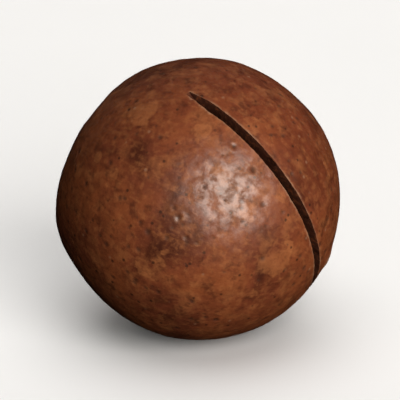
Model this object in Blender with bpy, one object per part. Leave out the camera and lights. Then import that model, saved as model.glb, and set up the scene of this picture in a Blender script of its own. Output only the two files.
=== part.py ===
"""A macadamia nut in its shell, sawn open along one side.

The woody shell is round and hollow. It has the flattened scar where it sat in its husk, a
small raised pore opposite the scar, and a saw cut through its wall. The kernel lies loose
inside. Sizes are in metres and +Z is up. The origin is the centre of the small flat spot
that the nut rests on.
"""

import math

import bmesh
import bpy
from mathutils import Matrix, Vector

MM = 0.001

# Shell
SHELL_RADIUS = 12.5 * MM
WALL_THICKNESS = 2.6 * MM
REST_SPOT_RADIUS = 3.0 * MM
SHELL_SEGMENTS, SHELL_RINGS = 56, 34
HOLLOW_SEGMENTS, HOLLOW_RINGS = 36, 22

# Scar and pore, at the two ends of one axis through the nut's centre
SCAR_DIRECTION = Vector((-0.901, 0.248, 0.355)).normalized()
SCAR_DEPTH = 0.45 * MM
SCAR_EDGE_BLEND = 0.30 * MM
SCAR_REACH = math.radians(60)
PORE_DIRECTION = -SCAR_DIRECTION
PORE_HEIGHT = 0.25 * MM
PORE_SPREAD = math.radians(4.5)

# Soft swells that keep the shell from being a true ball: direction, height, spread
SWELLS = (
    (Vector((0.14, 0.35, 0.93)).normalized(), 0.22 * MM, math.radians(26)),
    (Vector((-1.0, -0.10, -0.05)).normalized(), 0.20 * MM, math.radians(20)),
    (Vector((0.70, 0.26, 0.67)).normalized(), -0.15 * MM, math.radians(18)),
    (Vector((0.10, 0.95, -0.30)).normalized(), 0.15 * MM, math.radians(28)),
)

# Saw cut: a flat slot that a round blade leaves as the nut rolls against it
CUT_NORMAL = Vector((0.654, 0.628, 0.421)).normalized()
CUT_MIDDLE = Vector((0.609, -0.768, 0.200)).normalized()
CUT_OFF_CENTRE = 1.5 * MM
CUT_WIDTH = 0.8 * MM
CUT_HALF_SWEEP = math.radians(66)
CUT_FLOOR_RADIUS = 9.5 * MM
BLADE_RADIUS = 8.0 * MM
CUTTER_RADIUS = 14.0 * MM
CUTTER_STEPS = 44

# Kernel
KERNEL_RADIUS = 9.3 * MM
KERNEL_GAP = 0.3 * MM
KERNEL_BASE_FLAT = 0.25 * MM
KERNEL_TIP_HEIGHT = 0.12 * MM
KERNEL_END_SPREAD = math.radians(14)
KERNEL_SEGMENTS, KERNEL_RINGS = 40, 24

# Places that follow from the sizes
HOLLOW_RADIUS = SHELL_RADIUS - WALL_THICKNESS
NUT_CENTRE = Vector((0, 0, math.sqrt(SHELL_RADIUS**2 - REST_SPOT_RADIUS**2)))
KERNEL_DROP = HOLLOW_RADIUS - KERNEL_RADIUS - KERNEL_GAP
KERNEL_CENTRE = NUT_CENTRE - Vector((0, 0, KERNEL_DROP))
FLOOR_BLOCK_SIZE = 4 * SHELL_RADIUS

# Points of the saw cut's outline and caps that are closer than this are one point
WELD_DISTANCE = 0.001 * MM

# Finishes
SHELL_BROWN = (0.205, 0.070, 0.033, 1.0)
SHELL_ROUGHNESS = 0.42
KERNEL_CREAM = (0.700, 0.530, 0.310, 1.0)
KERNEL_ROUGHNESS = 0.50


def clear_scene():
    """Remove every object, so that the model starts from nothing."""
    for item in list(bpy.context.scene.objects):
        bpy.data.objects.remove(item, do_unlink=True)


def add_collection(name):
    """A new collection under the scene."""
    collection = bpy.data.collections.new(name)
    bpy.context.scene.collection.children.link(collection)
    return collection


def add_material(name, colour, roughness):
    """A plain material with the sub-part's own colour and gloss."""
    material = bpy.data.materials.new(name)
    material.use_nodes = True
    shader = material.node_tree.nodes["Principled BSDF"]
    shader.inputs["Base Color"].default_value = colour
    shader.inputs["Roughness"].default_value = roughness
    shader.inputs["Metallic"].default_value = 0.0
    return material


def bump(direction, centre, spread):
    """A round hill of height one at centre, fading out over the spread angle."""
    angle = direction.angle(centre)
    return math.exp(-((angle / spread) ** 2))


def smooth_minimum(a, b, blend):
    """The smaller of two lengths, rounded where they cross."""
    overlap = max(blend - abs(a - b), 0.0) / blend
    return min(a, b) - overlap**2 * blend / 4


def shell_radius(direction):
    """How far the shell's outside lies from the nut's centre along a direction."""
    radius = SHELL_RADIUS
    for centre, height, spread in SWELLS:
        radius += height * bump(direction, centre, spread)
    radius += PORE_HEIGHT * bump(direction, PORE_DIRECTION, PORE_SPREAD)
    towards_scar = direction.dot(SCAR_DIRECTION)
    if towards_scar > math.cos(SCAR_REACH):
        flat_radius = (SHELL_RADIUS - SCAR_DEPTH) / towards_scar
        radius = smooth_minimum(radius, flat_radius, SCAR_EDGE_BLEND)
    return radius


def hollow_radius(direction):
    """The hollow is a plain ball."""
    return HOLLOW_RADIUS


def kernel_radius(direction):
    """The kernel is a ball with a blunt base at the scar and a low tip at the pore."""
    base = KERNEL_BASE_FLAT * bump(direction, SCAR_DIRECTION, KERNEL_END_SPREAD)
    tip = KERNEL_TIP_HEIGHT * bump(direction, PORE_DIRECTION, KERNEL_END_SPREAD)
    return KERNEL_RADIUS - base + tip


def add_ball(name, segments, rings, radius_rule, centre, collection):
    """A closed ball with its poles at scar and pore and its radius set by a rule."""
    bm = bmesh.new()
    bmesh.ops.create_uvsphere(bm, u_segments=segments, v_segments=rings, radius=1.0)
    turn = Vector((0, 0, 1)).rotation_difference(SCAR_DIRECTION)
    for vertex in bm.verts:
        direction = (turn @ vertex.co).normalized()
        vertex.co = direction * radius_rule(direction)
    bmesh.ops.triangulate(bm, faces=bm.faces)
    mesh = bpy.data.meshes.new(name)
    bm.to_mesh(mesh)
    bm.free()
    mesh.shade_smooth()
    ball = bpy.data.objects.new(name, mesh)
    ball.location = centre
    collection.objects.link(ball)
    return ball


def mark_as_cutter(cutter):
    """Cutters shape the shell and are no piece of the nut."""
    cutter.hide_render = True
    cutter.display_type = "WIRE"


def cut_away(piece, cutter):
    """Take the cutter's shape out of a piece."""
    modifier = piece.modifiers.new(cutter.name, "BOOLEAN")
    modifier.operation = "DIFFERENCE"
    modifier.solver = "EXACT"
    modifier.object = cutter


def angle_to_circle(orbit, circle, blade):
    """Angle from the blade's middle to where its edge crosses a circle round the nut."""
    return math.acos((orbit**2 + circle**2 - blade**2) / (2 * orbit * circle))


def saw_cut_outline():
    """The slot seen square on: a deep middle whose floor rises in blade arcs at both ends."""
    orbit = CUT_FLOOR_RADIUS + BLADE_RADIUS
    rim = math.sqrt(SHELL_RADIUS**2 - CUT_OFF_CENTRE**2)
    travel = CUT_HALF_SWEEP - angle_to_circle(orbit, rim, BLADE_RADIUS)
    end = travel + angle_to_circle(orbit, CUTTER_RADIUS, BLADE_RADIUS)
    angles = [end * (2 * step / CUTTER_STEPS - 1) for step in range(CUTTER_STEPS + 1)]
    outline = []
    for angle in angles:
        past = max(0.0, abs(angle) - travel)
        floor = orbit * math.cos(past) - math.sqrt(BLADE_RADIUS**2 - (orbit * math.sin(past)) ** 2)
        outline.append((floor * math.cos(angle), floor * math.sin(angle)))
    for angle in reversed(angles[1:-1]):
        outline.append((CUTTER_RADIUS * math.cos(angle), CUTTER_RADIUS * math.sin(angle)))
    return outline


def saw_cut_matrix():
    """The slot's own frame: X to its middle, Z across the blade."""
    middle = (CUT_MIDDLE - CUT_NORMAL * CUT_MIDDLE.dot(CUT_NORMAL)).normalized()
    across = CUT_NORMAL.cross(middle)
    matrix = Matrix((middle, across, CUT_NORMAL)).transposed().to_4x4()
    matrix.translation = NUT_CENTRE + CUT_NORMAL * CUT_OFF_CENTRE
    return matrix


def add_saw_cut_cutter(collection):
    """The slot as a solid as thick as the blade."""
    curve = bpy.data.curves.new("saw_cut_outline", "CURVE")
    curve.dimensions = "2D"
    curve.fill_mode = "BOTH"
    curve.extrude = CUT_WIDTH / 2
    outline = saw_cut_outline()
    spline = curve.splines.new("POLY")
    spline.points.add(len(outline) - 1)
    spline.use_cyclic_u = True
    for point, (x, y) in zip(spline.points, outline):
        point.co = (x, y, 0.0, 1.0)
    drawn = bpy.data.objects.new("saw_cut_outline", curve)
    drawn.matrix_world = saw_cut_matrix()
    collection.objects.link(drawn)
    bpy.context.view_layer.update()

    evaluated = drawn.evaluated_get(bpy.context.evaluated_depsgraph_get())
    mesh = bpy.data.meshes.new_from_object(evaluated)
    mesh.name = "saw_cut"
    bm = bmesh.new()
    bm.from_mesh(mesh)
    bmesh.ops.remove_doubles(bm, verts=bm.verts, dist=WELD_DISTANCE)
    bmesh.ops.recalc_face_normals(bm, faces=bm.faces)
    bm.to_mesh(mesh)
    bm.free()
    cutter = bpy.data.objects.new("saw_cut", mesh)
    cutter.matrix_world = drawn.matrix_world.copy()
    collection.objects.link(cutter)
    bpy.data.objects.remove(drawn, do_unlink=True)
    mark_as_cutter(cutter)
    return cutter


def add_hollow_cutter(collection):
    """The round room that the kernel lies in."""
    cutter = add_ball(
        "hollow", HOLLOW_SEGMENTS, HOLLOW_RINGS, hollow_radius, NUT_CENTRE, collection
    )
    mark_as_cutter(cutter)
    return cutter


def add_rest_spot_cutter(collection):
    """A block with its top at the surface that the nut rests on."""
    mesh = bpy.data.meshes.new("rest_spot")
    bm = bmesh.new()
    bmesh.ops.create_cube(bm, size=FLOOR_BLOCK_SIZE)
    bm.to_mesh(mesh)
    bm.free()
    cutter = bpy.data.objects.new("rest_spot", mesh)
    cutter.location = (0, 0, -FLOOR_BLOCK_SIZE / 2)
    collection.objects.link(cutter)
    mark_as_cutter(cutter)
    return cutter


def add_shell(parts, cutters):
    """The hollow woody shell with its saw cut and its flat rest spot."""
    shell = add_ball("shell", SHELL_SEGMENTS, SHELL_RINGS, shell_radius, NUT_CENTRE, parts)
    cut_away(shell, add_hollow_cutter(cutters))
    cut_away(shell, add_saw_cut_cutter(cutters))
    cut_away(shell, add_rest_spot_cutter(cutters))
    shell.data.materials.append(add_material("shell", SHELL_BROWN, SHELL_ROUGHNESS))
    return shell


def add_kernel(parts):
    """The loose round kernel."""
    kernel = add_ball("kernel", KERNEL_SEGMENTS, KERNEL_RINGS, kernel_radius, KERNEL_CENTRE, parts)
    kernel.data.materials.append(add_material("kernel", KERNEL_CREAM, KERNEL_ROUGHNESS))
    return kernel


def main():
    """Build the nut."""
    clear_scene()
    parts = add_collection("macadamia_nut")
    cutters = add_collection("macadamia_nut_cutters")
    add_shell(parts, cutters)
    add_kernel(parts)
    bpy.context.view_layer.update()


if __name__ == "__main__":
    main()
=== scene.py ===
"""Macadamia nut in its shell: the fine shell and kernel, and the stage they are seen on."""

import math

import bmesh
import bpy
import numpy as np
from bpy.props import FloatProperty, FloatVectorProperty, IntProperty, PointerProperty
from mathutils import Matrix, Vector, kdtree, noise


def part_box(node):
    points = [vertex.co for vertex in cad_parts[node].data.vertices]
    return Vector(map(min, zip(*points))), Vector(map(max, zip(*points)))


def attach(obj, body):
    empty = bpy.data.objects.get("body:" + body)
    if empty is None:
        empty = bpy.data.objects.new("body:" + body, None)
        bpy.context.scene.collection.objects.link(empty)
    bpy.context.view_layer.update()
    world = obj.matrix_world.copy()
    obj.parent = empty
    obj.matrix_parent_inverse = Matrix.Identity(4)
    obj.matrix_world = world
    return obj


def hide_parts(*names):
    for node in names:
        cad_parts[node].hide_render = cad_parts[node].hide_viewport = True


bl_info = {
    "name": "Macadamia Nut in Shell",
    "version": (1, 0, 0),
    "blender": (4, 5, 0),
    "location": "3D View > Sidebar > Macadamia",
    "description": "Grows a sawn macadamia shell with its kernel and sets a plain stage",
    "category": "Object",
}

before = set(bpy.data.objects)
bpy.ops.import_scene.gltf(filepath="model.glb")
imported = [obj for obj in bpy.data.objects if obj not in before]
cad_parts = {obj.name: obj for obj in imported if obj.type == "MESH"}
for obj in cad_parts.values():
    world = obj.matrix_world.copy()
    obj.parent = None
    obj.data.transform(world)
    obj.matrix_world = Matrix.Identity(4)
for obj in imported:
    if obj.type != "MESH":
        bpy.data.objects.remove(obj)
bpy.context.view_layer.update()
KERNEL_LOW, KERNEL_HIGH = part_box("kernel")
KERNEL_SPAN = (KERNEL_HIGH.x - KERNEL_LOW.x) / 2
KERNEL_CENTRE = (KERNEL_LOW + KERNEL_HIGH) / 2

MM = 0.001

# Kinds of face on the shell
SKIN, SAWN, LINING = range(3)


def unit_vector(x, y, z):
    """A direction from the nut's centre, as an array of length one."""
    direction = np.array((x, y, z), float)
    return direction / np.linalg.norm(direction)


# Directions from the nut's centre. The viewer is towards -Y and a little above.
SCAR = unit_vector(-0.901, 0.248, 0.355)
PORE = -SCAR
SEAM_SIDE = unit_vector(0.30, 0.93, 0.11)
CUT_NORMAL = unit_vector(0.654, 0.628, 0.421)
CUT_MIDDLE = unit_vector(0.609, -0.768, 0.200)
CREASE_PLANE = unit_vector(0.30, 0.62, -0.73)

# How far the pore's hill, the scar's flat and the kernel's two ends reach round their middles
PORE_SPREAD = math.radians(4.5)
SCAR_REACH = math.radians(60)
KERNEL_END_SPREAD = math.radians(14)

# Soft swells of the shell: direction, height in millimetres, spread in degrees
SWELLS = (
    (unit_vector(0.14, 0.35, 0.93), 0.22, 26),
    (unit_vector(-1.0, -0.10, -0.05), 0.20, 20),
    (unit_vector(0.70, 0.26, 0.67), -0.15, 18),
    (unit_vector(0.10, 0.95, -0.30), 0.15, 28),
)

# Slighter swells and one dent beside the scar, given like the soft swells
SLIGHT_SWELLS = (
    (unit_vector(-0.777, 0.225, 0.588), -0.35, 8),
    (unit_vector(-0.978, -0.074, -0.194), 0.26, 15),
    (unit_vector(0.788, 0.220, 0.575), 0.21, 20),
    (unit_vector(-0.407, 0.327, 0.853), 0.14, 12),
)

# Pits that can be told one by one: direction, radius and depth in millimetres
KNOWN_PITS = (
    (unit_vector(-0.151, -0.960, 0.237), 0.26, 0.11),
    (unit_vector(-0.120, -0.975, 0.190), 0.16, 0.06),
    (unit_vector(-0.085, -0.960, 0.262), 0.12, 0.05),
    (unit_vector(-0.190, -0.965, 0.165), 0.14, 0.05),
    (unit_vector(-0.100, -0.990, 0.100), 0.20, 0.07),
    (unit_vector(-0.020, -0.998, 0.060), 0.15, 0.06),
    (unit_vector(-0.364, -0.924, 0.119), 0.30, 0.07),
    (unit_vector(-0.420, -0.900, 0.180), 0.16, 0.05),
    (unit_vector(-0.560, -0.770, 0.310), 0.18, 0.05),
)

# Strewn pits: the draw's seed, the radii in millimetres and the depths in radii
PIT_SEED = 23
PIT_RADII = (0.09, 0.26)
PIT_DEPTHS = (0.18, 0.42)

# A pit's reach, and its low rim's place and width, in radii, and the rim's height in depths
PIT_REACH = 4
PIT_RIM_PLACE, PIT_RIM_WIDTH, PIT_RIM_HEIGHT = 1.6, 0.5, 0.16

# The scar: how far its edge strays and fades, its relief, its middle's dimple and its rim
SCAR_STRAY = 0.35 * MM
FADE_INSIDE, FADE_OUTSIDE = 0.35 * MM, 0.10 * MM
CORK_HEIGHT = 0.060 * MM
RIB_HEIGHT = 0.030 * MM
DIMPLE_DEPTH, DIMPLE_RADIUS = 0.16 * MM, 0.8 * MM
RIM_HEIGHT, RIM_WIDTH = 0.07 * MM, 0.28 * MM

# The pore's hole, the seam and its gap to the scar, and the crease of the kernel
HOLE_DEPTH, HOLE_RADIUS = 0.18 * MM, 0.20 * MM
SEAM_WANDER, SEAM_WIDTH, SEAM_GAP = 0.12 * MM, 0.17 * MM, 0.1 * MM
CREASE_WANDER, CREASE_WIDTH = 0.15 * MM, 0.22 * MM

# The lining of the shell: faces along a side of its grid and height of its waves
LINING_ROWS = 44
LINING_WAVES = 0.05 * MM

# The slot: rings along it, and how its ends narrow and its lips fray and chip
SLOT_RINGS = 220
TAPER, TAPER_FROM, TAPER_TO = 0.60, 0.82, 1.02
FRAY_WAVELENGTH = 0.45 * MM
CHIP_RARITY, CHIP_SIZE = 0.30, 0.35 * MM

# The least step up the slot's wall, how far its ends clear the skin, and the least sharp angle
LEAST_STEP = 0.01 * MM
END_CLEARANCE = 0.6 * MM
SHARP_EDGE = math.radians(38)

# How far from the slot's edge its distance is measured
LIP_REACH = 4 * MM

# Pale or tawny patches that can be told one by one, the last two of them painted light:
# direction, radius in millimetres
KNOWN_PATCHES_AND_PAINTED_LIGHT = (
    (unit_vector(-0.346, -0.933, -0.104), 1.5),
    (unit_vector(0.012, -0.652, 0.759), 1.0),
    (unit_vector(0.301, -0.917, 0.263), 1.4),
    (unit_vector(-0.423, -0.406, 0.810), 1.7),
    (unit_vector(-0.605, -0.657, 0.450), 0.6),
    (unit_vector(-0.713, -0.482, 0.508), 0.5),
    (unit_vector(0.111, -0.285, 0.952), 0.7),
    # The last two are painted light: warm light reflected onto the lower right side, painted as
    # paler skin
    (unit_vector(0.494, -0.859, -0.134), 1.8),
    (unit_vector(0.600, -0.795, -0.060), 1.0),
)

# The side of the shell that is roasted redder
RUSTY_SIDE = unit_vector(0.55, -0.10, 0.80)
RUSTY_SPREAD = math.radians(48)

# Lights: where each lies, how wide it looks in degrees, and its tint
KEY_LIGHT = ((0.400, -0.820, 0.410), 56, (1.0, 0.98, 0.96))
BACK_LIGHT = ((0.05, 0.95, 0.25), 80, (1.0, 0.97, 0.94))
FLOOR_LIGHT = ((0.0, 0.0, 1.0), 60, (1.0, 1.0, 1.0))

# The sky brightens between two heights, from a share of its full strength
SKY_LOW, SKY_HIGH, SKY_DIMMEST = -0.10, 0.40, 0.04

# The camera's sensor, in millimetres
SENSOR_WIDTH = 36.0

# Shader nodes: how many stand in a row, and the colour sockets of a mix
NODES_IN_A_ROW = 11
MIX_FIRST, MIX_SECOND, MIX_RESULT = 6, 7, 2


def srgb(red, green, blue):
    """A colour as it looks on a screen, 0 to 255, in the linear values that shaders use."""

    def linear(value):
        value /= 255
        return value / 12.92 if value <= 0.04045 else ((value + 0.055) / 1.055) ** 2.4

    return linear(red), linear(green), linear(blue)


def length(name, description, default):
    """A length setting, given in metres."""
    return FloatProperty(
        name=name, description=description, default=default, precision=5, unit="LENGTH"
    )


def angle(name, description, degrees):
    """An angle setting, given in degrees and kept in radians."""
    return FloatProperty(
        name=name, description=description, default=math.radians(degrees), unit="ROTATION"
    )


def colour(name, description, red, green, blue):
    """A colour setting, given as it looks on a screen."""
    return FloatVectorProperty(
        name=name,
        description=description,
        default=srgb(red, green, blue),
        size=3,
        min=0.0,
        max=1.0,
        subtype="COLOR",
    )


class ShellSizes(bpy.types.PropertyGroup):
    """Sizes of the woody shell and of the relief on its skin."""

    radius: length("Radius", "From the nut's centre to the outside", 12.5 * MM)
    wall: length("Wall", "Thickness of the shell", 2.6 * MM)
    rest_spot: length("Rest Spot", "Radius of the flat spot underneath", 3.0 * MM)
    scar_depth: length("Scar Depth", "How far the scar is flattened", 0.45 * MM)
    scar_radius: length("Scar Radius", "From the scar's middle to its rim", 3.3 * MM)
    scar_blend: length("Scar Edge", "Rounding round the scar", 0.30 * MM)
    pore_height: length("Pore Height", "Height of the small pore's hill", 0.25 * MM)
    swell: length("Undulation", "Height of the broad waves of the skin", 0.045 * MM)
    peel: length("Orange Peel", "Height of the small waves of the skin", 0.020 * MM)
    dimples: length("Dimples", "Height of the close waves of the skin", 0.011 * MM)
    grain: length("Grain", "Height of the finest waves of the skin", 0.004 * MM)
    seam_depth: length("Seam Depth", "Depth of the hairline seam", 0.05 * MM)
    pit_count: IntProperty(name="Pits", description="Pits over the whole shell", default=260)
    rows: IntProperty(name="Rows", description="Faces along a side of the grid", default=112)


class CutSizes(bpy.types.PropertyGroup):
    """Sizes of the slot that the saw left."""

    width: length("Width", "Thickness of the blade", 0.8 * MM)
    off_centre: length("Off Centre", "From the nut's centre to the blade's plane", 1.5 * MM)
    half_sweep: angle("Half Sweep", "From the slot's middle to its end", 66)
    floor: length("Floor", "From the plane's centre to the bottom of the slot", 9.5 * MM)
    blade: length("Blade", "Radius of the blade", 8.0 * MM)
    lip: length("Lip", "Height of the worn edge", 0.10 * MM)
    fray: length("Fray", "How ragged the edges are", 0.040 * MM)


class ShellColours(bpy.types.PropertyGroup):
    """Colours of the shell."""

    brown: colour("Brown", "Most of the skin", 126, 62, 37)
    dark: colour("Dark Brown", "Darker clouds of the skin", 76, 33, 19)
    warm: colour("Warm Brown", "Lighter clouds of the skin", 150, 79, 43)
    tawny: colour("Tawny", "Patches where the skin is thin", 186, 114, 66)
    rusty: colour("Rusty", "Redder side of the skin", 134, 60, 30)
    wax: colour("Wax", "Tint of the sheen", 255, 212, 180)
    speck: colour("Specks", "Dark pores and freckles", 48, 24, 15)
    pale: colour("Pale Flecks", "Small scuffs", 196, 152, 118)
    scar: colour("Scar", "Corky scar", 168, 110, 72)
    # The sawn wall's brown is darker than fresh-sawn shell: painted shade in the narrow slot
    sawn: colour("Sawn Wall", "Wall seen in the slot", 80, 44, 28)
    lining: colour("Lining", "Inside of the shell", 74, 44, 30)


class KernelSizes(bpy.types.PropertyGroup):
    """Sizes of the kernel."""

    tip_height: length("Tip", "Height of the tip under the pore", 0.12 * MM)
    base_flat: length("Base", "How far the end at the scar is flattened", 0.25 * MM)
    crease: length("Crease", "Depth of the line between the halves", 0.10 * MM)
    wrinkle: length("Wrinkles", "Height of the skin's waves", 0.04 * MM)
    rows: IntProperty(name="Rows", description="Faces along a side of the grid", default=48)


class KernelColours(bpy.types.PropertyGroup):
    """Colours of the kernel."""

    cream: colour("Cream", "Most of the kernel", 222, 180, 130)
    toasted: colour("Toasted", "Roasted clouds", 182, 124, 72)


class StageSettings(bpy.types.PropertyGroup):
    """Floor, lights and camera."""

    floor: colour("Floor", "Plain floor", 238, 237, 235)
    floor_size: length("Floor Size", "Side of the floor", 12.0)
    distance: length("Camera Distance", "From the camera to the nut", 0.43)
    view_height: angle("Camera Height", "Angle above the horizon", 21)
    fill: FloatProperty(
        name="Fill", description="Share of the picture that the nut takes", default=0.70
    )
    key: FloatProperty(name="Key Light", description="Strength of the main light", default=3.5)
    back: FloatProperty(name="Back Light", description="Strength from behind", default=1.6)
    floor_light: FloatProperty(name="Floor Light", description="Extra for the floor", default=1.5)
    backdrop: FloatProperty(name="Backdrop", description="Behind the floor", default=1.08)
    sky: FloatProperty(name="Sky", description="Strength of the light all round", default=0.29)


class NutSettings(bpy.types.PropertyGroup):
    """All settings of the nut and its stage."""

    shell: PointerProperty(type=ShellSizes, name="Shell")
    cut: PointerProperty(type=CutSizes, name="Saw Cut")
    shell_colours: PointerProperty(type=ShellColours, name="Shell Colours")
    kernel: PointerProperty(type=KernelSizes, name="Kernel")
    kernel_colours: PointerProperty(type=KernelColours, name="Kernel Colours")
    stage: PointerProperty(type=StageSettings, name="Stage")


# Points and directions


def unit(vectors):
    """The same directions at length one."""
    return vectors / np.linalg.norm(vectors, axis=1, keepdims=True)


def read_points(mesh):
    """A mesh's points as rows of x, y and z."""
    flat = np.empty(len(mesh.vertices) * 3)
    mesh.vertices.foreach_get("co", flat)
    return flat.reshape(-1, 3)


def write_points(mesh, points):
    """Put new points into a mesh."""
    mesh.vertices.foreach_set("co", points.ravel())
    mesh.update()


def read_whole(items, name):
    """One whole number of each face or corner."""
    numbers = np.empty(len(items), dtype=np.int32)
    items.foreach_get(name, numbers)
    return numbers


def to_mesh(bm, name):
    """A new mesh made of the faces built so far."""
    mesh = bpy.data.meshes.new(name)
    bm.to_mesh(mesh)
    bm.free()
    return mesh


def add_object(name, data):
    """A new object in the scene."""
    thing = bpy.data.objects.new(name, data)
    bpy.context.scene.collection.objects.link(thing)
    return thing


def nut_centre(shell):
    """The middle of the shell above its rest spot."""
    return np.array((0.0, 0.0, math.sqrt(shell.radius**2 - shell.rest_spot**2)))


def angle_from(directions, centre):
    """Angle of each direction from a centre direction."""
    return np.arccos(np.clip(directions @ centre, -1.0, 1.0))


def hill(directions, centre, spread):
    """A round hill of height one at centre that fades out over the spread angle."""
    return np.exp(-((angle_from(directions, centre) / spread) ** 2))


def smooth_minimum(a, b, blend):
    """The smaller of two lengths, rounded where they cross."""
    overlap = np.maximum(blend - np.abs(a - b), 0.0) / blend
    return np.minimum(a, b) - overlap**2 * blend / 4


def smooth_step(values, low, high):
    """Zero below low, one above high and a soft rise between."""
    share = np.clip((values - low) / (high - low), 0.0, 1.0)
    return share * share * (3 - 2 * share)


def waves(places, wavelength, shift, octaves=1):
    """Smooth noise between about -1 and 1 whose hills are a wavelength apart."""
    spots = (places / wavelength + shift).tolist()
    return np.array([noise.fractal(spot, 1.0, 2.0, octaves) for spot in spots])


# Shell


def grow_grid_ball(name, rows):
    """A ball of even four-sided faces: a cube's grid blown up to radius one."""
    bm = bmesh.new()
    bmesh.ops.create_cube(bm, size=2.0)
    bmesh.ops.subdivide_edges(bm, edges=bm.edges, cuts=rows - 1, use_grid_fill=True)
    mesh = to_mesh(bm, name)
    write_points(mesh, unit(np.tan(read_points(mesh) * math.pi / 4)))
    return mesh


def swell_height(directions, swells):
    """How far a set of swells lifts the surface at each direction."""
    lift = np.zeros(len(directions))
    for centre, height, spread in swells:
        lift += height * MM * hill(directions, centre, math.radians(spread))
    return lift


def shell_body(directions, shell):
    """Distance of the shell's smooth outside from the nut's centre."""
    radius = shell.radius + swell_height(directions, SWELLS)
    radius += shell.pore_height * hill(directions, PORE, PORE_SPREAD)
    towards_scar = np.maximum(directions @ SCAR, math.cos(SCAR_REACH))
    flat = (shell.radius - shell.scar_depth) / towards_scar
    return smooth_minimum(radius, flat, shell.scar_blend)


def scattered_pits(count):
    """Pits strewn evenly over the shell: directions, radii and depths."""
    draw = np.random.default_rng(PIT_SEED)
    directions = unit(draw.normal(size=(count, 3)))
    radii = draw.uniform(*PIT_RADII, count) * MM
    depths = radii * draw.uniform(*PIT_DEPTHS, count)
    return directions, radii, depths


def all_pits(shell):
    """The strewn pits followed by the known ones."""
    directions, radii, depths = scattered_pits(shell.pit_count)
    known = [np.array([pit[part] for pit in KNOWN_PITS]) for part in range(3)]
    return (
        np.vstack((directions, known[0])),
        np.concatenate((radii, known[1] * MM)),
        np.concatenate((depths, known[2] * MM)),
    )


def pit_relief(directions, shell):
    """Depth of the pits at each direction, and how much of a pit's floor each one is."""
    depth = np.zeros(len(directions))
    floor = np.zeros(len(directions))
    for centre, radius, deep in zip(*all_pits(shell)):
        reach = math.cos(PIT_REACH * radius / shell.radius)
        near = np.flatnonzero(directions @ centre > reach)
        away = angle_from(directions[near], centre) * shell.radius / radius
        bowl = np.exp(-(away**3))
        rim = np.exp(-(((away - PIT_RIM_PLACE) / PIT_RIM_WIDTH) ** 2))
        depth[near] += deep * (bowl - PIT_RIM_HEIGHT * rim)
        floor[near] = np.maximum(floor[near], bowl)
    return depth, floor


def seam_distance(directions, shell):
    """Signed distance from the seam, which runs from pore to scar on one side only."""
    side = SEAM_SIDE - SCAR * (SEAM_SIDE @ SCAR)
    across = np.cross(SCAR, side / np.linalg.norm(side))
    wander = SEAM_WANDER * waves(directions * shell.radius, 3.0 * MM, shift=41.0, octaves=2)
    away = shell.radius * np.arcsin(np.clip(directions @ across, -1.0, 1.0)) + wander
    in_scar = angle_from(directions, SCAR) * shell.radius < shell.scar_radius + SEAM_GAP
    return np.where((directions @ side > 0) & ~in_scar, away, shell.radius)


def turn_round_scar(directions):
    """Angle of each direction round the axis through scar and pore."""
    first = np.cross(SCAR, (0.0, 0.0, 1.0))
    first /= np.linalg.norm(first)
    second = np.cross(SCAR, first)
    return np.arctan2(directions @ second, directions @ first)


def scar_relief(directions, shell):
    """Corky roughness, low ribs and a raised rim on the scar."""
    places = directions * shell.radius
    away = angle_from(directions, SCAR) * shell.radius
    turn = turn_round_scar(directions)
    edge = shell.scar_radius + SCAR_STRAY * waves(places, 1.6 * MM, shift=7.0, octaves=3)
    inside = 1.0 - smooth_step(away, edge - FADE_INSIDE, edge + FADE_OUTSIDE)
    cork = CORK_HEIGHT * waves(places, 0.60 * MM, shift=3.0, octaves=3)
    round_axis = np.column_stack((np.cos(turn), np.sin(turn), 0.4 * away / shell.scar_radius))
    ribs = RIB_HEIGHT * waves(round_axis, 0.21, shift=5.0, octaves=2)
    dimple = -DIMPLE_DEPTH * np.exp(-((away / DIMPLE_RADIUS) ** 2))
    rim = RIM_HEIGHT * np.exp(-(((away - edge) / RIM_WIDTH) ** 2))
    return inside * (cork + ribs + dimple) + rim


def shell_outside(directions, shell):
    """Distance of the shell's finished outside from the nut's centre."""
    places = directions * shell.radius
    radius = shell_body(directions, shell) + swell_height(directions, SLIGHT_SWELLS)
    radius += shell.swell * waves(places, 5.5 * MM, shift=11.0, octaves=2)
    radius += shell.peel * waves(places, 1.15 * MM, shift=17.0, octaves=2)
    radius += shell.dimples * waves(places, 0.66 * MM, shift=37.0)
    radius += shell.grain * waves(places, 0.40 * MM, shift=29.0)
    radius -= pit_relief(directions, shell)[0]
    radius += scar_relief(directions, shell)
    seam = seam_distance(directions, shell)
    worn = 0.5 + 0.5 * np.clip(waves(places, 2.6 * MM, shift=53.0, octaves=2) * 2, -1, 1)
    line = np.exp(-((seam / SEAM_WIDTH) ** 2))
    radius -= shell.seam_depth * (0.25 + 0.75 * worn) * line
    pore_away = angle_from(directions, PORE) * shell.radius
    return radius - HOLE_DEPTH * np.exp(-((pore_away / HOLE_RADIUS) ** 2))


def grow_shell_wall(shell):
    """The closed wall before sawing: the outside, and the room for the kernel inside."""
    outer = grow_grid_ball("shell_wall", shell.rows)
    directions = read_points(outer)
    centre = nut_centre(shell)
    points = centre + directions * shell_outside(directions, shell)[:, None]
    points[:, 2] = np.maximum(points[:, 2], 0.0)
    write_points(outer, points)

    inner = grow_grid_ball("shell_lining", LINING_ROWS)
    directions = read_points(inner)
    hollow = shell.radius - shell.wall
    hollow += LINING_WAVES * waves(directions * shell.radius, 1.5 * MM, shift=2.0)
    write_points(inner, centre + directions * hollow[:, None])

    bm = bmesh.new()
    bm.from_mesh(inner)
    bmesh.ops.reverse_faces(bm, faces=bm.faces)
    for face in bm.faces:
        face.material_index = LINING
    bm.from_mesh(outer)
    mesh = to_mesh(bm, "shell")
    bpy.data.meshes.remove(outer)
    bpy.data.meshes.remove(inner)
    mesh.shade_smooth()
    return mesh


def angle_to_circle(orbit, circle, blade):
    """Angle from the blade's middle to where its edge crosses a circle round the nut."""
    return math.acos((orbit**2 + circle**2 - blade**2) / (2 * orbit * circle))


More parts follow.
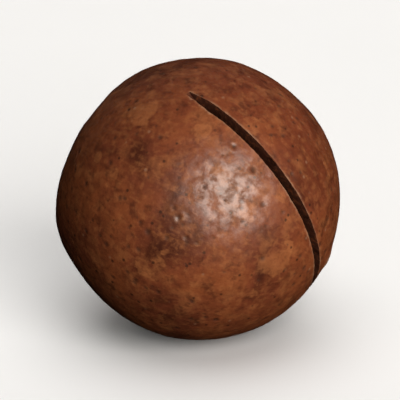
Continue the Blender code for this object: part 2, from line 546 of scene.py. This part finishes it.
def cut_axes():
    """The slot's own directions: to its middle, along it, and across the blade."""
    middle = CUT_MIDDLE - CUT_NORMAL * (CUT_MIDDLE @ CUT_NORMAL)
    middle /= np.linalg.norm(middle)
    return middle, np.cross(CUT_NORMAL, middle), CUT_NORMAL


def slot_half_width(turn, out, side, cut, rim):
    """Half of the slot's width at a turn along it and a distance out from its centre."""
    ends = abs(turn) / cut.half_sweep
    half = cut.width / 2 * (1 - TAPER * smooth_step(ends, TAPER_FROM, TAPER_TO))
    along = Vector((turn * rim, side * 7.0 * MM, 0)) / FRAY_WAVELENGTH
    half += cut.fray * noise.fractal(along, 0.8, 2.0, 3)
    chips = max(0.0, noise.noise(along * 0.35 + Vector((side * 9.0, 4.0, 0))) - CHIP_RARITY)
    worn = min(1.0, max(0.0, (out - (rim - cut.lip)) / cut.lip))
    return half + worn * (0.6 * cut.lip + chips * CHIP_SIZE)


def blade_path(shell, cut):
    """The skin's radius in the blade's plane, the blade's orbit, and its turn each way."""
    rim = math.sqrt(shell.radius**2 - cut.off_centre**2)
    orbit = cut.floor + cut.blade
    return rim, orbit, cut.half_sweep - angle_to_circle(orbit, rim, cut.blade)


def slot_section(turn, shell, cut):
    """The slot's outline across the blade at one turn: distance out and distance across."""
    rim, orbit, travel = blade_path(shell, cut)
    past = max(0.0, abs(turn) - travel)
    floor = orbit * math.cos(past) - math.sqrt(cut.blade**2 - (orbit * math.sin(past)) ** 2)
    # From the floor up the wall, over the worn lip and out clear of the skin
    levels = [floor, rim - 1.2 * MM, rim - cut.lip, rim - 0.4 * cut.lip]
    levels += [rim + 0.05 * MM, rim + 1.0 * MM]
    for step in range(1, len(levels)):
        levels[step] = max(levels[step], levels[step - 1] + LEAST_STEP)
    one_side = [(out, slot_half_width(turn, out, 1, cut, rim)) for out in levels]
    other_side = [(out, -slot_half_width(turn, out, -1, cut, rim)) for out in reversed(levels)]
    return one_side + other_side


def slot_ends(shell, cut):
    """The turn at which the slot's floor has risen clear of the shell."""
    rim, orbit, travel = blade_path(shell, cut)
    return travel + angle_to_circle(orbit, rim + END_CLEARANCE, cut.blade)


def grow_slot_cutter(shell, cut):
    """The slot as a solid: its outline lofted along the blade's path."""
    middle, along, across = cut_axes()
    centre = nut_centre(shell) + across * cut.off_centre
    end = slot_ends(shell, cut)
    bm = bmesh.new()
    rings = []
    for step in range(SLOT_RINGS + 1):
        turn = end * (2 * step / SLOT_RINGS - 1)
        outwards = middle * math.cos(turn) + along * math.sin(turn)
        ring = []
        for out, side in slot_section(turn, shell, cut):
            ring.append(bm.verts.new(centre + outwards * out + across * side))
        rings.append(ring)
    count = len(rings[0])
    for ring, following in zip(rings, rings[1:]):
        for corner in range(count):
            after = (corner + 1) % count
            bm.faces.new((ring[corner], ring[after], following[after], following[corner]))
    bm.faces.new(rings[0])
    bm.faces.new(rings[-1])
    bmesh.ops.triangulate(bm, faces=bm.faces)
    bmesh.ops.recalc_face_normals(bm, faces=bm.faces)
    for face in bm.faces:
        face.material_index = SAWN
        face.smooth = True
    return to_mesh(bm, "slot")


def saw_open(mesh, cutter_mesh):
    """The wall with the slot taken out of it."""
    whole = add_object("shell_before_sawing", mesh)
    cutter = add_object("slot", cutter_mesh)
    modifier = whole.modifiers.new("saw_cut", "BOOLEAN")
    modifier.operation = "DIFFERENCE"
    modifier.solver = "EXACT"
    modifier.object = cutter
    bpy.context.view_layer.update()
    evaluated = whole.evaluated_get(bpy.context.evaluated_depsgraph_get())
    sawn = bpy.data.meshes.new_from_object(evaluated)
    for item in (whole, cutter):
        bpy.data.objects.remove(item, do_unlink=True)
    sawn.set_sharp_from_angle(angle=SHARP_EDGE)
    return sawn


def points_of_faces(mesh, kind):
    """Which points belong to faces of one kind."""
    kinds = read_whole(mesh.polygons, "material_index")
    counts = read_whole(mesh.polygons, "loop_total")
    corners = read_whole(mesh.loops, "vertex_index")
    belongs = np.zeros(len(mesh.vertices), dtype=bool)
    belongs[corners[np.repeat(kinds == kind, counts)]] = True
    return belongs


def lip_distance(mesh, points, shell, cut):
    """Distance of each point from the slot's edge in the skin, up to a few millimetres."""
    edge = np.flatnonzero(points_of_faces(mesh, SKIN) & points_of_faces(mesh, SAWN))
    tree = kdtree.KDTree(len(edge))
    for place, index in enumerate(edge):
        tree.insert(points[index], place)
    tree.balance()
    away = np.full(len(points), LIP_REACH)
    aside = (points - nut_centre(shell)) @ CUT_NORMAL - cut.off_centre
    for index in np.flatnonzero(np.abs(aside) < LIP_REACH):
        away[index] = min(away[index], tree.find(points[index])[2])
    return away


def note(mesh, name, values):
    """Keep a number or a vector for each point, for the material to read."""
    kind, field = ("FLOAT", "value") if values.ndim == 1 else ("FLOAT_VECTOR", "vector")
    layer = mesh.attributes.new(name, kind, "POINT")
    layer.data.foreach_set(field, values.astype(np.float32).ravel())


def patch_and_painted_light_cover(directions, shell):
    """How much each direction belongs to one of the known pale patches, two of which are painted
    reflected light.
    """
    cover = np.zeros(len(directions))
    ragged = 1 + 0.45 * waves(directions * shell.radius, 1.1 * MM, shift=19.0, octaves=3)
    for centre, radius in KNOWN_PATCHES_AND_PAINTED_LIGHT:
        away = angle_from(directions, centre) * shell.radius / (radius * MM)
        cover = np.maximum(cover, 1 - smooth_step(away * ragged, 0.75, 1.15))
    return cover


def note_skin_places(mesh, shell, cut):
    """Keep where each point lies from scar, pore, seam and slot, in millimetres."""
    points = read_points(mesh)
    directions = unit(points - nut_centre(shell))
    turn = turn_round_scar(directions)
    from_scar = angle_from(directions, SCAR)
    note(mesh, "scar_mm", from_scar * shell.radius / MM)
    note(mesh, "pore_mm", angle_from(directions, PORE) * shell.radius / MM)
    note(mesh, "seam_mm", seam_distance(directions, shell) / MM)
    note(mesh, "lip_mm", lip_distance(mesh, points, shell, cut) / MM)
    note(mesh, "rust", hill(directions, RUSTY_SIDE, RUSTY_SPREAD))
    note(mesh, "pit", pit_relief(directions, shell)[1])
    # The known patches, two of which are painted reflected light on the lower right
    note(mesh, "patch_and_painted_light", patch_and_painted_light_cover(directions, shell))
    note(mesh, "streak", np.column_stack((np.cos(turn), np.sin(turn), from_scar)))


# Kernel


def grow_kernel_mesh(kernel):
    """The loose ball of the kernel, with its crease, its tip and its blunt base."""
    mesh = grow_grid_ball("kernel_flesh", kernel.rows)
    directions = read_points(mesh)
    places = directions * KERNEL_SPAN
    radius = np.full(len(directions), KERNEL_SPAN)
    radius -= kernel.base_flat * hill(directions, SCAR, KERNEL_END_SPREAD)
    radius += kernel.tip_height * hill(directions, PORE, KERNEL_END_SPREAD)
    radius -= kernel.wrinkle * (0.5 + 0.5 * waves(places, 1.3 * MM, shift=13.0, octaves=3))
    aside = directions @ CREASE_PLANE * KERNEL_SPAN
    aside += CREASE_WANDER * waves(places, 2.5 * MM, shift=31.0)
    radius -= kernel.crease * np.exp(-((aside / CREASE_WIDTH) ** 2))
    write_points(mesh, np.array(KERNEL_CENTRE) + directions * radius[:, None])
    mesh.shade_smooth()
    note(mesh, "crease_mm", aside / MM)
    return mesh


# Materials


class Graph:
    """Adds shader nodes to one new material and joins them."""

    def __init__(self, name):
        self.material = bpy.data.materials.new(name)
        self.material.use_nodes = True
        self.tree = self.material.node_tree
        self.shader = self.tree.nodes["Principled BSDF"]
        self.count = 0

    def add(self, kind, feeds=(), **settings):
        """A new node with its settings and with values or sockets fed to its inputs."""
        node = self.tree.nodes.new(kind)
        row, column = divmod(self.count, NODES_IN_A_ROW)
        node.location = (190 * column - 2400, 900 - 260 * row)
        self.count += 1
        for name, value in settings.items():
            setattr(node, name, value)
        for key, value in feeds:
            self.feed(node.inputs[key], value)
        return node

    def feed(self, socket, value):
        """Join a socket, or set the value of an input."""
        if isinstance(value, bpy.types.NodeSocket):
            self.tree.links.new(value, socket)
        else:
            socket.default_value = value

    def millimetres(self):
        """Places on the piece, in millimetres."""
        places = self.add("ShaderNodeTexCoord").outputs["Object"]
        feeds = ((0, places), ("Scale", 1 / MM))
        return self.add("ShaderNodeVectorMath", feeds, operation="SCALE").outputs[0]

    def stored(self, name, output="Fac"):
        """A number or vector that the mesh keeps for each point."""
        return self.add("ShaderNodeAttribute", attribute_name=name).outputs[output]

    def noise(self, places, wavelength, detail=2.0, roughness=0.5, distortion=0.0, output=0):
        """Cloudy noise whose clouds are a wavelength apart."""
        feeds = (
            ("Vector", places),
            ("Scale", 1 / wavelength),
            ("Detail", detail),
            ("Roughness", roughness),
            ("Distortion", distortion),
        )
        return self.add("ShaderNodeTexNoise", feeds).outputs[output]

    def cells(self, places, spacing):
        """Distance from strewn dots, and a random colour for each."""
        feeds = (("Vector", places), ("Scale", 1 / spacing), ("Randomness", 1.0))
        node = self.add("ShaderNodeTexVoronoi", feeds, feature="F1")
        return node.outputs["Distance"], node.outputs["Color"]

    def math(self, operation, first, second=0.0, third=0.0):
        """One step of arithmetic."""
        feeds = ((0, first), (1, second), (2, third))
        return self.add("ShaderNodeMath", feeds, operation=operation).outputs[0]

    def fade(self, value, low, high):
        """Zero at low, one at high, with a soft rise. Low may be the larger."""
        feeds = (("Value", value), ("From Min", low), ("From Max", high))
        return self.add("ShaderNodeMapRange", feeds, interpolation_type="SMOOTHSTEP").outputs[0]

    def spread(self, value, low, high):
        """A value between 0 and 1 moved to the range from low to high."""
        feeds = (("Value", value), ("To Min", low), ("To Max", high))
        return self.add("ShaderNodeMapRange", feeds).outputs[0]

    def blend(self, share, first, second):
        """Two colours mixed by a share of the second."""
        feeds = ((0, share), (MIX_FIRST, opaque(first)), (MIX_SECOND, opaque(second)))
        return self.add("ShaderNodeMix", feeds, data_type="RGBA").outputs[MIX_RESULT]

    def lay(self, shade, tone, share, strength):
        """A tone laid over a shade, where a share from 0 to 1 says, up to a strength."""
        return self.blend(self.math("MULTIPLY", share, strength), shade, tone)

    def stretched(self, places, amounts):
        """Places stretched by an amount along each axis."""
        feeds = ((0, places), (1, amounts))
        return self.add("ShaderNodeVectorMath", feeds, operation="MULTIPLY").outputs[0]

    def moved(self, places, step):
        """Places moved by a step."""
        feeds = ((0, places), (1, step))
        return self.add("ShaderNodeVectorMath", feeds, operation="ADD").outputs[0]

    def clouds(self, value, stops):
        """Colours along a value from 0 to 1."""
        node = self.add("ShaderNodeValToRGB", (("Fac", value),))
        ramp = node.color_ramp
        while len(ramp.elements) < len(stops):
            ramp.elements.new(0.5)
        for element, (place, shade) in zip(ramp.elements, stops):
            element.position = place
            element.color = opaque(shade)
        return node.outputs["Color"]

    def bump(self, height, distance, under=None):
        """Fine relief of the surface, over another relief if one is given."""
        feeds = [("Height", height), ("Distance", distance), ("Strength", 1.0)]
        if under is not None:
            feeds.append(("Normal", under))
        return self.add("ShaderNodeBump", feeds).outputs[0]

    def finish(self, shade, roughness, normal=None):
        """Join colour, roughness and relief to the shader."""
        self.feed(self.shader.inputs["Base Color"], shade)
        self.feed(self.shader.inputs["Roughness"], roughness)
        if normal is not None:
            self.feed(self.shader.inputs["Normal"], normal)
        return self.material


def opaque(shade):
    """A colour with full opacity, or a socket as it is."""
    if isinstance(shade, bpy.types.NodeSocket):
        return shade
    return (*shade, 1.0)


def skin_clouds(graph, places, paint):
    """Broad clouds of brown under everything else, redder on the rusty side."""
    broad = graph.noise(places, 6.0, detail=3.0, roughness=0.55, distortion=0.4)
    stops = ((0.32, paint.dark), (0.47, paint.brown), (0.66, paint.warm))
    return graph.lay(graph.clouds(broad, stops), paint.rusty, graph.stored("rust"), 0.55)


def warped(graph, places, wavelength, amount):
    """The same places pushed about, so that clouds over them get ragged outlines."""
    push = graph.noise(places, wavelength, detail=2.0, output=1)
    push = graph.add("ShaderNodeVectorMath", ((0, push), ("Scale", amount)), operation="SCALE")
    return graph.moved(places, push.outputs[0])


def add_blotches(graph, places, shade, paint):
    """Soft blotches in four sizes, lighter and darker than the brown under them."""
    ragged = warped(graph, places, 1.6, 1.1)
    for wavelength, low, high, strength, tone in (
        (3.6, 0.50, 0.68, 0.40, paint.warm),
        (1.7, 0.50, 0.68, 0.36, paint.tawny),
        (1.2, 0.47, 0.30, 0.60, paint.dark),
        (0.80, 0.52, 0.70, 0.34, paint.tawny),
    ):
        field = graph.noise(ragged, wavelength, detail=4.0, roughness=0.58)
        shade = graph.lay(shade, tone, graph.fade(field, low, high), strength)
    return shade


def add_patches(graph, places, shade, paint):
    """Tawny patches with a thin dark edge, strewn and known ones alike; two known ones are
    painted reflected light.
    """
    ragged = warped(graph, places, 0.9, 1.2)
    field = graph.noise(ragged, 2.3, detail=5.0, roughness=0.60)
    # The stored share brings in the known patches, two of them painted reflected light
    field = graph.math("MULTIPLY_ADD", graph.stored("patch_and_painted_light"), 0.21, field)
    patch_and_painted_light = graph.fade(field, 0.58, 0.74)
    edge = graph.math("SUBTRACT", graph.fade(field, 0.52, 0.60), patch_and_painted_light)
    shade = graph.lay(shade, paint.dark, edge, 0.22)
    inner = graph.noise(places, 0.45, detail=3.0, roughness=0.6)
    return graph.lay(shade, paint.tawny, patch_and_painted_light, graph.spread(inner, 0.20, 0.70))


def add_streaks(graph, shade, paint):
    """Streaks that run out from the scar and fade towards the pore, and thin fibres."""
    around = graph.stored("streak", "Vector")
    near = graph.fade(graph.stored("scar_mm"), 24.0, 4.0)
    broad = graph.noise(graph.stretched(around, (9.0, 9.0, 2.2)), 1.0, detail=3.0, roughness=0.6)
    dark = graph.math("MULTIPLY", graph.fade(broad, 0.44, 0.30), near)
    light = graph.math("MULTIPLY", graph.fade(broad, 0.58, 0.72), near)
    shade = graph.lay(shade, paint.dark, dark, 0.45)
    shade = graph.lay(shade, paint.tawny, light, 0.40)
    thin = graph.stretched(around, (26.0, 26.0, 5.0))
    thin = graph.noise(thin, 1.0, detail=4.0, roughness=0.65, distortion=0.5)
    shade = graph.lay(shade, paint.dark, graph.fade(thin, 0.45, 0.30), 0.30)
    return graph.lay(shade, paint.tawny, graph.fade(thin, 0.56, 0.70), 0.26)


def add_specks(graph, places, shade, mottle, paint):
    """Fine mottling, dark freckles and pale flecks."""
    shade = graph.lay(shade, paint.dark, graph.fade(mottle, 0.5, 0.3), 0.35)
    shade = graph.lay(shade, paint.tawny, graph.fade(mottle, 0.52, 0.72), 0.25)
    distance, tint = graph.cells(places, 0.95)
    chosen = graph.fade(tint, 0.50, 0.62)
    freckle = graph.math("MULTIPLY", graph.fade(distance, 0.20, 0.10), chosen)
    shade = graph.lay(shade, paint.speck, freckle, 0.75)
    distance, tint = graph.cells(graph.moved(places, (4.3, 8.1, 2.7)), 1.3)
    chosen = graph.fade(tint, 0.52, 0.66)
    fleck = graph.math("MULTIPLY", graph.fade(distance, 0.16, 0.06), chosen)
    return graph.lay(shade, paint.pale, fleck, 0.30)


def add_scar(graph, places, shade, wobble, ragged, paint):
    """The corky scar with its dark rim and its dark middle."""
    from_middle = graph.stored("scar_mm")
    place = graph.math("MULTIPLY_ADD", wobble, 1.6, from_middle)
    place = graph.math("MULTIPLY_ADD", ragged, 1.1, place)
    fibres = graph.stretched(graph.stored("streak", "Vector"), (7.0, 7.0, 6.0))
    fibres = graph.noise(fibres, 1.0, detail=4.0, roughness=0.65, distortion=0.8)
    cork = graph.noise(places, 0.8, detail=5.0, roughness=0.68)
    cork = graph.math("MULTIPLY_ADD", fibres, 0.42, graph.math("MULTIPLY", cork, 0.58))
    tones = ((0.41, paint.dark), (0.47, paint.warm), (0.53, paint.scar), (0.68, paint.pale))
    shade = graph.blend(graph.fade(place, 4.9, 4.5), shade, graph.clouds(cork, tones))
    rim = graph.math("MULTIPLY", graph.fade(place, 4.4, 4.9), graph.fade(place, 5.7, 5.0))
    shade = graph.lay(shade, paint.speck, rim, 0.50)
    middle = graph.fade(graph.math("MULTIPLY_ADD", wobble, 0.6, from_middle), 1.1, 0.6)
    return graph.lay(shade, paint.dark, middle, 0.65)


def add_pore(graph, shade, wobble, paint):
    """The pore: a pale ring round a dark hole."""
    place = graph.math("MULTIPLY_ADD", wobble, 0.25, graph.stored("pore_mm"))
    shade = graph.lay(shade, paint.pale, graph.fade(place, 1.1, 0.6), 0.5)
    return graph.blend(graph.fade(place, 0.42, 0.26), shade, paint.speck)


def add_landmarks(graph, places, shade, paint):
    """The scar, the pore, the seam, the pits and the pale edge of the slot, partly wear and
    partly a painted highlight along its lip.
    """
    wobble = graph.noise(places, 1.2, detail=3.0)
    ragged = graph.noise(places, 0.45, detail=3.0, roughness=0.6)
    shade = add_scar(graph, places, shade, wobble, ragged, paint)
    shade = add_pore(graph, shade, wobble, paint)
    broken = graph.fade(graph.noise(places, 1.9, detail=3.0, roughness=0.6), 0.40, 0.60)
    seam = graph.fade(graph.math("ABSOLUTE", graph.stored("seam_mm")), 0.14, 0.03)
    shade = graph.lay(shade, paint.speck, seam, graph.spread(broken, 0.15, 0.65))
    shade = graph.lay(shade, paint.speck, graph.stored("pit"), 0.72)
    # Pale band along the slot's edge: partly worn shell, partly a painted highlight where the lip
    # catches the light
    lip = graph.fade(graph.math("MULTIPLY_ADD", ragged, 0.5, graph.stored("lip_mm")), 0.48, 0.24)
    return graph.lay(shade, paint.pale, lip, graph.spread(broken, 0.12, 0.50))


def skin_material(paint):
    """Roasted, mottled, faintly waxy skin."""
    graph = Graph("shell_skin")
    places = graph.millimetres()
    mottle = graph.noise(places, 0.55, detail=4.0, roughness=0.6)
    shade = skin_clouds(graph, places, paint)
    shade = add_blotches(graph, places, shade, paint)
    shade = add_patches(graph, places, shade, paint)
    shade = add_streaks(graph, shade, paint)
    shade = add_specks(graph, places, shade, mottle, paint)
    shade = add_landmarks(graph, places, shade, paint)

    sheen = graph.noise(places, 1.1, detail=4.0, roughness=0.62, distortion=0.3)
    dull = graph.fade(sheen, 0.62, 0.38)
    roughness = graph.spread(dull, 0.34, 0.50)
    roughness = graph.math("MULTIPLY_ADD", graph.stored("pit"), 0.25, roughness)
    inputs = graph.shader.inputs
    graph.feed(inputs["Coat Weight"], graph.spread(dull, 0.80, 0.0))
    inputs["Coat Roughness"].default_value = 0.33
    inputs["Coat IOR"].default_value = 1.7
    inputs["Specular IOR Level"].default_value = 0.85
    inputs["Specular Tint"].default_value = opaque(paint.wax)

    fine = graph.noise(places, 0.16, detail=3.0, roughness=0.6)
    relief = graph.bump(mottle, 0.030 * MM, graph.bump(fine, 0.010 * MM))
    return graph.finish(shade, roughness, relief)


def sawn_material(paint):
    """The wall as the blade left it: dense and woody, with fine blade marks, its brown darker
    than fresh-sawn shell as painted shade in the narrow slot.
    """
    graph = Graph("shell_sawn_and_painted_shade")
    places = graph.millimetres()
    grain = graph.noise(places, 0.5, detail=4.0, roughness=0.6, distortion=0.6)
    # These browns are darker than fresh-sawn shell: painted shade in the slot
    shade = graph.clouds(grain, ((0.30, paint.dark), (0.52, paint.sawn), (0.80, paint.warm)))
    marks = graph.noise(places, 0.14, detail=2.0)
    relief = graph.bump(marks, 0.02 * MM)
    graph.shader.inputs["Specular IOR Level"].default_value = 0.15
    return graph.finish(shade, graph.spread(grain, 0.75, 0.95), relief)


def lining_material(paint):
    """The smooth inside of the shell."""
    graph = Graph("shell_lining")
    places = graph.millimetres()
    field = graph.noise(places, 2.2, detail=4.0, roughness=0.55)
    shade = graph.clouds(field, ((0.35, paint.dark), (0.55, paint.lining), (0.75, paint.sawn)))
    return graph.finish(shade, graph.spread(field, 0.35, 0.55))


def kernel_material(paint):
    """Cream nut meat, toasted in clouds and darker in the crease."""
    graph = Graph("kernel_flesh")
    places = graph.millimetres()
    field = graph.noise(places, 3.0, detail=4.0, roughness=0.6)
    shade = graph.clouds(field, ((0.38, paint.toasted), (0.60, paint.cream)))
    crease = graph.fade(graph.math("ABSOLUTE", graph.stored("crease_mm")), 0.25, 0.05)
    shade = graph.lay(shade, paint.toasted, crease, 0.6)
    relief = graph.bump(graph.noise(places, 0.4, detail=3.0), 0.02 * MM)
    return graph.finish(shade, graph.spread(field, 0.40, 0.55), relief)


def floor_material(stage):
    """Plain pale floor with the faintest unevenness."""
    graph = Graph("floor")
    places = graph.millimetres()
    field = graph.noise(places, 40.0, detail=2.0)
    tint = tuple(0.985 * part for part in stage.floor)
    shade = graph.clouds(field, ((0.35, tint), (0.65, tuple(stage.floor))))
    graph.shader.inputs["Specular IOR Level"].default_value = 0.0
    return graph.finish(shade, graph.spread(field, 0.60, 0.70))


# Operators


def add_piece(name, mesh, materials, node):
    """Put a finished piece on the model in place of its plain solid."""
    piece = add_object(name, mesh)
    mesh.materials.clear()
    for material in materials:
        mesh.materials.append(material)
    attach(piece, "root")
    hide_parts(node)
    return piece


class MACADAMIA_OT_grow_shell(bpy.types.Operator):
    """Grow the woody shell with its scar, pore, seam, pits and saw cut"""

    bl_idname = "macadamia.grow_shell"
    bl_label = "Grow Shell"
    bl_options = {"REGISTER", "UNDO"}

    def execute(self, context):
        settings = context.scene.macadamia
        shell, cut, paint = settings.shell, settings.cut, settings.shell_colours
        mesh = saw_open(grow_shell_wall(shell), grow_slot_cutter(shell, cut))
        mesh.name = "nutshell"
        note_skin_places(mesh, shell, cut)
        materials = (skin_material(paint), sawn_material(paint), lining_material(paint))
        # Clearing the materials resets the kinds of the faces, so they are put back after it
        kinds = read_whole(mesh.polygons, "material_index")
        piece = add_piece("nutshell", mesh, materials, "shell")
        mesh.polygons.foreach_set("material_index", kinds)
        if not (kinds == SAWN).any():
            raise RuntimeError("the saw cut took nothing out of the shell")
        self.report({"INFO"}, f"{piece.name}: {len(mesh.polygons)} faces")
        return {"FINISHED"}


class MACADAMIA_OT_grow_kernel(bpy.types.Operator):
    """Grow the loose kernel inside the shell"""

    bl_idname = "macadamia.grow_kernel"
    bl_label = "Grow Kernel"
    bl_options = {"REGISTER", "UNDO"}

    def execute(self, context):
        settings = context.scene.macadamia
        mesh = grow_kernel_mesh(settings.kernel)
        add_piece("nutmeat", mesh, (kernel_material(settings.kernel_colours),), "kernel")
        return {"FINISHED"}


def add_floor(stage):
    """A plain floor under the nut, far wider than any view of it."""
    bm = bmesh.new()
    bmesh.ops.create_grid(bm, x_segments=1, y_segments=1, size=stage.floor_size / 2)
    floor = add_object("floor", to_mesh(bm, "floor"))
    floor.data.materials.append(floor_material(stage))
    floor.visible_diffuse = False
    floor.visible_glossy = False
    return floor


def add_sun(name, strength, look):
    """A soft light from far away. Its look is where it lies, its width and its tint."""
    towards, width_degrees, tint = look
    data = bpy.data.lights.new(name, "SUN")
    data.energy = strength
    data.angle = math.radians(width_degrees)
    data.color = tint
    light = add_object(name, data)
    light.rotation_euler = Vector(towards).to_track_quat("Z", "Y").to_euler()
    return light


def light_only(light, thing):
    """Let a light fall on one thing alone."""
    lit = bpy.data.collections.new(f"lit_by_{light.name}")
    lit.objects.link(thing)
    light.light_linking.receiver_collection = lit


def add_sky(stage):
    """Dim light from the upper half of the room, before a pale backdrop."""
    world = bpy.data.worlds.new("studio")
    world.use_nodes = True
    nodes, links = world.node_tree.nodes, world.node_tree.links
    place = nodes.new("ShaderNodeTexCoord")
    split = nodes.new("ShaderNodeSeparateXYZ")
    links.new(place.outputs["Generated"], split.inputs[0])
    height = nodes.new("ShaderNodeMapRange")
    height.interpolation_type = "SMOOTHSTEP"
    height.inputs["From Min"].default_value = SKY_LOW
    height.inputs["From Max"].default_value = SKY_HIGH
    height.inputs["To Min"].default_value = SKY_DIMMEST
    links.new(split.outputs["Z"], height.inputs["Value"])
    scale = nodes.new("ShaderNodeMath")
    scale.operation = "MULTIPLY"
    scale.inputs[1].default_value = stage.sky
    links.new(height.outputs[0], scale.inputs[0])
    light = nodes["Background"]
    links.new(scale.outputs[0], light.inputs["Strength"])

    seen = nodes.new("ShaderNodeBackground")
    seen.inputs["Color"].default_value = opaque(tuple(stage.floor))
    seen.inputs["Strength"].default_value = stage.backdrop
    path = nodes.new("ShaderNodeLightPath")
    either = nodes.new("ShaderNodeMixShader")
    links.new(path.outputs["Is Camera Ray"], either.inputs[0])
    links.new(light.outputs[0], either.inputs[1])
    links.new(seen.outputs[0], either.inputs[2])
    links.new(either.outputs[0], nodes["World Output"].inputs["Surface"])
    bpy.context.scene.world = world


def add_camera(stage, shell):
    """A long lens, so that the nut is seen nearly without perspective."""
    data = bpy.data.cameras.new("camera")
    data.sensor_width = SENSOR_WIDTH
    seen = 2 * shell.radius / stage.fill
    data.lens = SENSOR_WIDTH * stage.distance / seen
    data.clip_start = 0.01
    data.clip_end = 50.0
    camera = add_object("camera", data)
    height, target = stage.view_height, Vector(nut_centre(shell))
    back = Vector((0.0, -math.cos(height), math.sin(height)))
    camera.location = target + back * stage.distance
    camera.rotation_euler = back.to_track_quat("Z", "Y").to_euler()
    bpy.context.scene.camera = camera


class MACADAMIA_OT_set_stage(bpy.types.Operator):
    """Set the floor, the lights and the camera"""

    bl_idname = "macadamia.set_stage"
    bl_label = "Set Stage"
    bl_options = {"REGISTER", "UNDO"}

    def execute(self, context):
        settings = context.scene.macadamia
        stage = settings.stage
        floor = add_floor(stage)
        add_sun("key", stage.key, KEY_LIGHT)
        behind = add_sun("back", stage.back, BACK_LIGHT)
        behind.visible_glossy = False
        above = add_sun("floor_light", stage.floor_light, FLOOR_LIGHT)
        light_only(above, floor)
        add_sky(stage)
        add_camera(stage, settings.shell)
        context.scene.view_settings.view_transform = "Standard"
        return {"FINISHED"}


class MACADAMIA_PT_panel(bpy.types.Panel):
    """Sizes, colours and steps of the nut"""

    bl_label = "Macadamia Nut"
    bl_idname = "MACADAMIA_PT_panel"
    bl_space_type = "VIEW_3D"
    bl_region_type = "UI"
    bl_category = "Macadamia"

    def draw(self, context):
        settings = context.scene.macadamia
        for group in ("shell", "cut", "shell_colours", "kernel", "kernel_colours", "stage"):
            box = self.layout.box()
            values = getattr(settings, group)
            box.label(text=group.replace("_", " ").title())
            for name in values.__annotations__:
                box.prop(values, name)
        self.layout.operator(MACADAMIA_OT_grow_shell.bl_idname)
        self.layout.operator(MACADAMIA_OT_grow_kernel.bl_idname)
        self.layout.operator(MACADAMIA_OT_set_stage.bl_idname)


CLASSES = (
    ShellSizes,
    CutSizes,
    ShellColours,
    KernelSizes,
    KernelColours,
    StageSettings,
    NutSettings,
    MACADAMIA_OT_grow_shell,
    MACADAMIA_OT_grow_kernel,
    MACADAMIA_OT_set_stage,
    MACADAMIA_PT_panel,
)


def register():
    """Make the settings, operators and panel known to Blender."""
    for item in CLASSES:
        bpy.utils.register_class(item)
    bpy.types.Scene.macadamia = PointerProperty(type=NutSettings)


def unregister():
    """Take them away again."""
    del bpy.types.Scene.macadamia
    for item in reversed(CLASSES):
        bpy.utils.unregister_class(item)


def main():
    """Build the nut and its stage."""
    register()
    bpy.ops.macadamia.grow_shell()
    bpy.ops.macadamia.grow_kernel()
    bpy.ops.macadamia.set_stage()


if __name__ == "__main__":
    main()
